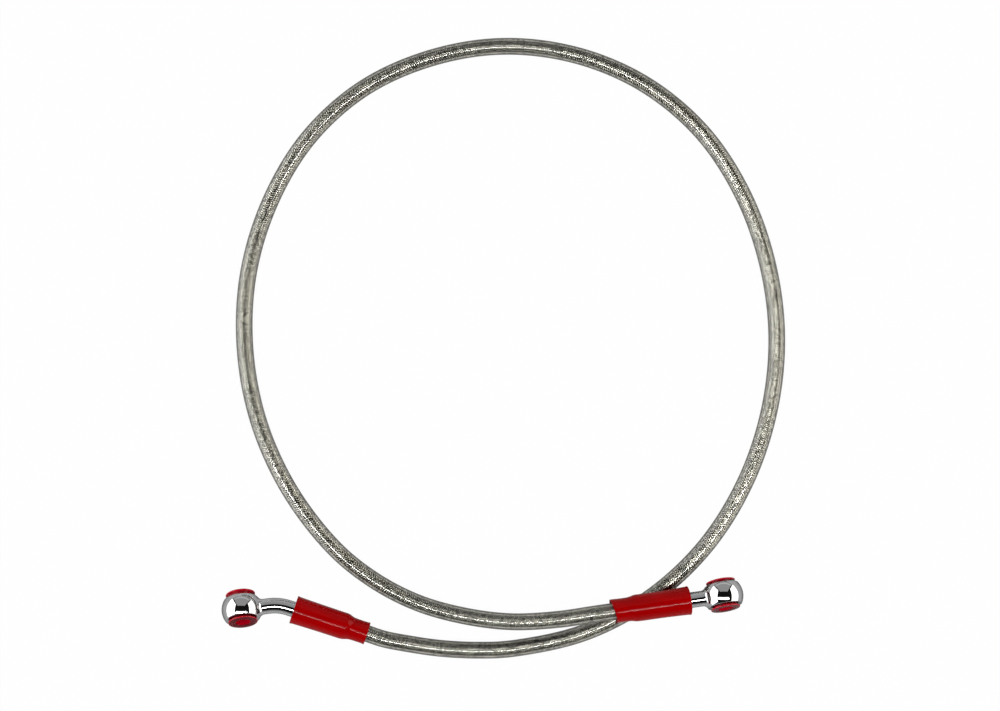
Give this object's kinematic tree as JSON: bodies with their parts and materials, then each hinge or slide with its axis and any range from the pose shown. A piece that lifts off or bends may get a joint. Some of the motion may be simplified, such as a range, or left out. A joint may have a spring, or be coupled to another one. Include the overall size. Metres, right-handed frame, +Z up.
{
  "type": "brake hose",
  "caption": "Braided stainless brake hose in a clear jacket, lying in a loop, with bent and straight banjo fittings, red heat-shrink sleeves and push-in plugs in the eyes.",
  "frame": {"origin": "on the floor under the middle of the whole hose's outline, as it lies", "axes": "+Z up from the floor the hose lies on; +Y across the loop, away from the two fittings; +X from the bent fitting towards the straight one"},
  "size_m": [0.2496, 0.2754, 0.0197],
  "materials": {
    "liner": "white fluoropolymer tube, slightly waxy",
    "braid": "fine stainless wire braid",
    "jacket": "clear glossy hose jacket",
    "fitting": "bright chrome plate",
    "ferrule": "turned and crimped stainless steel",
    "heat_shrink": "glossy red heat-shrink tube",
    "plug": "dark red moulded plastic, slightly see-through"
  },
  "bodies": {
    "root": {"liner": "liner", "braid": "braid", "jacket": "jacket", "bent_banjo_fitting": "fitting", "straight_banjo_fitting": "fitting", "bent_end_ferrule": "ferrule", "straight_end_ferrule": "ferrule", "bent_end_sleeve": "heat_shrink", "straight_end_sleeve": "heat_shrink", "bent_end_upper_plug": "plug", "bent_end_lower_plug": "plug", "straight_end_upper_plug": "plug", "straight_end_lower_plug": "plug"}
  },
  "joints": []
}
